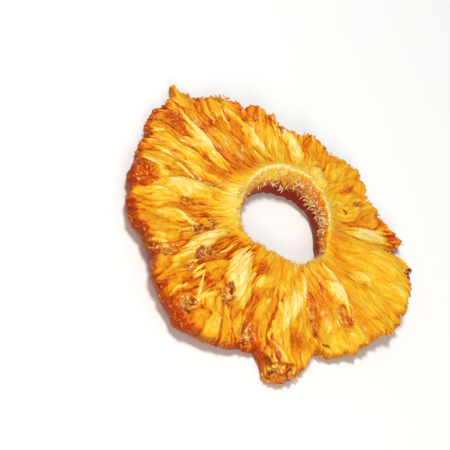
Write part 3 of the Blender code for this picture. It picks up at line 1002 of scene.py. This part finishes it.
def threads(kind, angle, radius, heading, curl, level, shade=(0, 1)):
    """Tapering threads from their roots on, which level places in height at each of their points.

    A heading of 0 is outwards and 90 is round the ring, and a thread turns by its curl. The shade is the
    least and greatest that a thread may have, for all or for each.
    """
    rng = np.random.default_rng(kind.seed)
    count = len(angle)
    length = rng.uniform(*kind.lengths, count)[:, None]
    half_width = rng.uniform(*kind.half_widths, count)[:, None, None, None]
    share = np.linspace(0, 1, POINTS)
    turn = np.radians(heading[:, None] + curl[:, None] * share)
    out = np.cumsum(np.cos(turn), axis=1) * length / POINTS
    round_ring = np.cumsum(np.sin(turn), axis=1) * length / POINTS
    radii = radius[:, None] + out
    angles = angle[:, None] + np.degrees(round_ring / radii)
    paths = place(angles, radii, level(angles, radii, share * np.ones_like(radii)))

    along = np.gradient(paths, axis=1)
    side = np.cross(along, THREAD_UP)
    side /= np.linalg.norm(side, axis=-1, keepdims=True)
    up = np.cross(side, along)
    up /= np.linalg.norm(up, axis=-1, keepdims=True)
    ring = (2 * np.pi * np.arange(SIDES) / SIDES)[:, None]
    section = np.cos(ring) * side[:, :, None] + kind.flatness * np.sin(ring) * up[:, :, None]
    taper = (np.sqrt(1 - share**kind.blunt) * (1 - THREAD_END) + THREAD_END)[None, :, None, None]
    places = paths[:, :, None] + section * half_width * taper * MM
    piece = mesh_object(kind.piece, places.reshape(-1, 3), thread_faces(count), fibre_material(kind))
    own = rng.uniform(*shade, count)[:, None, None] * np.ones((1, POINTS, SIDES))
    store(piece.data, "shade", own[..., None])
    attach(piece, "root")


def thread_faces(count):
    """The sides and both ends of so many closed threads."""
    faces = []
    for thread in range(count):
        first = thread * POINTS * SIDES
        for row in range(POINTS - 1):
            near = first + row * SIDES
            far = near + SIDES
            for k in range(SIDES):
                after = (k + 1) % SIDES
                faces.append((near + k, far + k, far + after, near + after))
        last = first + (POINTS - 1) * SIDES
        faces.append(tuple(range(first, first + SIDES)))
        faces.append(tuple(reversed(range(last, last + SIDES))))
    return faces


def on_top(lift):
    """Gives threads the height of the upper face, and a hump of that height above it."""
    def level(angle, radius, share):
        surface = upper_face(angle, radius) + upper_detail(angle, radius)[0]
        return surface + lift * np.sin(np.pi * share) - THREAD_SUNK
    return level


def between(angle, low_radius, high_radius, height):
    """The level at that share of the height from the lower face to the upper one."""
    low = underside(angle, low_radius)[:, None]
    high = upper_face(angle, high_radius)[:, None]
    return low + (high - low) * height


def headings(rng, kind, count, middle=0):
    """Random headings about the middle one, and random curls."""
    heading = middle + rng.normal(0, kind.heading, count)
    return heading, rng.normal(0, kind.curl, count)


def make_frayed():
    """Short, curly, nearly white fibres in the torn hollows. Half of them head inwards."""
    rng = np.random.default_rng(FRAYED.seed + PLACING)
    roots = []
    for middle, distance, half_length, half_width, _, brown in POCKETS:
        count = int(FRAYED_PER_AREA * half_length * half_width * brown)
        out = rng.normal(0, FRAYED_SCATTER[0], count) * half_length
        beside = rng.normal(0, FRAYED_SCATTER[1], count) * half_width
        roots += zip(middle + np.degrees(beside / distance), distance + out)
    angle, radius = np.array(roots).T
    heading = rng.normal(0, FRAYED.heading, len(angle)) + 180 * (rng.uniform(size=len(angle)) < 0.5)
    curl = rng.normal(0, FRAYED.curl, len(angle))
    threads(FRAYED, angle, radius, heading, curl, on_top(FRAYED_LIFT))


def make_hairs():
    """Long thin fibres that lie on the upper face."""
    rng = np.random.default_rng(HAIRS.seed + PLACING)
    angle = rng.uniform(*HAIR_ANGLES, HAIR_COUNT)
    inner = crest_radius(angle)
    radius = inner + rng.uniform(*HAIR_PLACES, HAIR_COUNT) * (outline(angle) - inner)
    heading, curl = headings(rng, HAIRS, HAIR_COUNT)
    threads(HAIRS, angle, radius, heading, curl, on_top(HAIR_LIFT))


def make_shreds():
    """Torn shreds along the outer edge."""
    rng = np.random.default_rng(SHREDS.seed + PLACING)
    angle = rng.uniform(0, 360, SHRED_COUNT)
    height = rng.uniform(*SHRED_HEIGHTS, SHRED_COUNT)[:, None]
    radius = outline(angle) - SHRED_ROOT + standing_out(angle, *LIP)
    heading, curl = headings(rng, SHREDS, SHRED_COUNT)

    def level(angles, radii, share):
        return between(angle, radius, radius, height) + (height - SHRED_MIDDLE) * share

    # Shreds on the red side are deeper, as painted shade.
    red = hump(angle, RED_SHADE_AT, RED_SHADE_SPREAD)
    shade = (0.4 - 0.4 * red, 0.95 - 0.6 * red)
    threads(SHREDS, angle, radius, heading, curl, level, shade)


def make_rim_teeth():
    """Small teeth of pale core that stand on the rim of the hole."""
    rng = np.random.default_rng(RIM_TEETH.seed + PLACING)
    angle = rng.uniform(0, 360, TOOTH_COUNT)
    radius = crest_radius(angle) + rng.uniform(*TOOTH_PLACES, TOOTH_COUNT)
    heading, curl = headings(rng, RIM_TEETH, TOOTH_COUNT, 180)
    rise = rng.uniform(*TOOTH_RISES, TOOTH_COUNT)[:, None]

    def level(angles, radii, share):
        return upper_face(angle, radius)[:, None] - 0.05 + rise * share

    threads(RIM_TEETH, angle, radius, heading, curl, level)


def make_rim_fringe():
    """Fine fibres that lie inwards over the low side of the rim and droop past it."""
    rng = np.random.default_rng(RIM_FRINGE.seed + PLACING)
    angle = rng.uniform(*FRINGE_ANGLES, FRINGE_COUNT)
    radius = crest_radius(angle) + rng.uniform(*FRINGE_PLACES, FRINGE_COUNT)
    heading, curl = headings(rng, RIM_FRINGE, FRINGE_COUNT, 180)
    droop = rng.uniform(*FRINGE_DROOPS, FRINGE_COUNT)[:, None]

    def level(angles, radii, share):
        crest = crest_radius(angle)[:, None]
        past = np.maximum(crest - radii, 0)
        surface = upper_face(angles, np.maximum(radii, crest))
        return surface + FRINGE_LIFT * np.sin(np.pi * share) - droop * past

    threads(RIM_FRINGE, angle, radius, heading, curl, level)


def make_wall_drops():
    """Glossy knots and fibre ends that hang from the wall of the hole, whose pale cream is painted highlight.
    """
    rng = np.random.default_rng(WALL_DROPS.seed + PLACING)
    count = CLUMP_COUNT * CLUMP_DROPS
    clump_angle = np.repeat(rng.normal(*CLUMP_AT, CLUMP_COUNT), CLUMP_DROPS)
    clump_height = np.repeat(rng.uniform(*CLUMP_HEIGHTS, CLUMP_COUNT), CLUMP_DROPS)
    angle = np.mod(clump_angle + rng.normal(0, CLUMP_SIZE[0], count), 360)
    height = np.clip(clump_height + rng.normal(0, CLUMP_SIZE[1], count), *DROP_HEIGHTS)
    inner = hole(angle)
    crest = crest_radius(angle)
    radius = inner + (crest - inner) * height**WALL_CURVE + 0.1
    heading, curl = headings(rng, WALL_DROPS, count, 180)
    drop = rng.uniform(*DROP_FALLS, count)[:, None]

    def level(angles, radii, share):
        return between(angle, inner, crest, height[:, None]) - drop * share**1.5

    threads(WALL_DROPS, angle, radius, heading, curl, level)


def make_tip_curls():
    """Browned strips that curl round the lowest point of the edge."""
    rng = np.random.default_rng(TIP_CURLS.seed + PLACING)
    angle = TIP_ANGLE + rng.uniform(-CURL_SPREAD, CURL_SPREAD, CURL_COUNT)
    near, far = CURL_PLACES
    radius = np.minimum(outline(angle) - 1.0, TIP_START + near + rng.uniform(0, far, CURL_COUNT))
    heading, curl = headings(rng, TIP_CURLS, CURL_COUNT, 90)
    heading = heading + 180 * (angle > TIP_ANGLE)
    height = rng.uniform(*CURL_HEIGHTS, CURL_COUNT)[:, None]

    def level(angles, radii, share):
        return np.maximum(between(angle, radius, radius, height) - CURL_DROP * share, CURL_LOWEST)

    threads(TIP_CURLS, angle, radius, heading, curl, level)


def make_floor():
    bpy.ops.mesh.primitive_plane_add(size=FLOOR_SIDE, location=(0, 0, FLOOR_LEVEL))
    floor = bpy.context.active_object
    floor.name = "floor"
    floor.data.materials.append(new_material("floor", FLOOR_SHADER)[0])


def make_light(name, turn, height, distance, size, power, colour):
    """A square softbox, aimed at the ring."""
    data = bpy.data.lights.new(name, "AREA")
    data.size = size
    data.energy = power
    data.color = colour
    light = bpy.data.objects.new(name, data)
    bpy.context.scene.collection.objects.link(light)
    a, e = math.radians(turn), math.radians(height)
    back = Vector((math.cos(a) * math.cos(e), math.sin(a) * math.cos(e), math.sin(e)))
    light.location = back * distance
    light.rotation_mode = "QUATERNION"
    light.rotation_quaternion = back.to_track_quat("Z", "Y")


def make_lights():
    for light in LIGHTS:
        make_light(*light)
    world = bpy.data.worlds.new("studio")
    world.use_nodes = True
    background = world.node_tree.nodes["Background"]
    background.inputs["Color"].default_value = (1, 1, 1, 1)
    background.inputs["Strength"].default_value = SKY
    bpy.context.scene.world = world
    bpy.context.scene.view_settings.view_transform = "Standard"


def make_camera():
    data = bpy.data.cameras.new("camera")
    camera = bpy.data.objects.new("camera", data)
    bpy.context.scene.collection.objects.link(camera)
    e, roll = math.radians(ELEVATION), math.radians(ROLL)
    forward = Vector((0, math.cos(e), -math.sin(e)))
    level = Vector((1, 0, 0))
    upright = level.cross(forward)
    right = math.cos(roll) * level + math.sin(roll) * upright
    up = right.cross(forward)
    focal = PIXELS_PER_MM * DISTANCE
    middle = IMAGE_SIDE / 2
    across_mm = (AIM_PIXEL[0] - middle) / focal * DISTANCE
    up_mm = (middle - AIM_PIXEL[1]) / focal * DISTANCE
    aim = Vector((*HOLE_CENTRE, AIM_HEIGHT))
    place = (aim - forward * DISTANCE - right * across_mm - up * up_mm) * MM
    turn = Matrix((right, up, -forward)).transposed().to_4x4()
    camera.matrix_world = Matrix.Translation(place) @ turn
    data.sensor_width = SENSOR
    data.lens = SENSOR * focal / IMAGE_SIDE
    data.clip_start = 0.01
    bpy.context.scene.camera = camera


def main():
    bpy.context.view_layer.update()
    make_camera()
    make_skin()
    for make in (make_frayed, make_hairs, make_shreds, make_rim_teeth, make_rim_fringe, make_wall_drops,
                 make_tip_curls):
        make()
    make_floor()
    make_lights()


main()
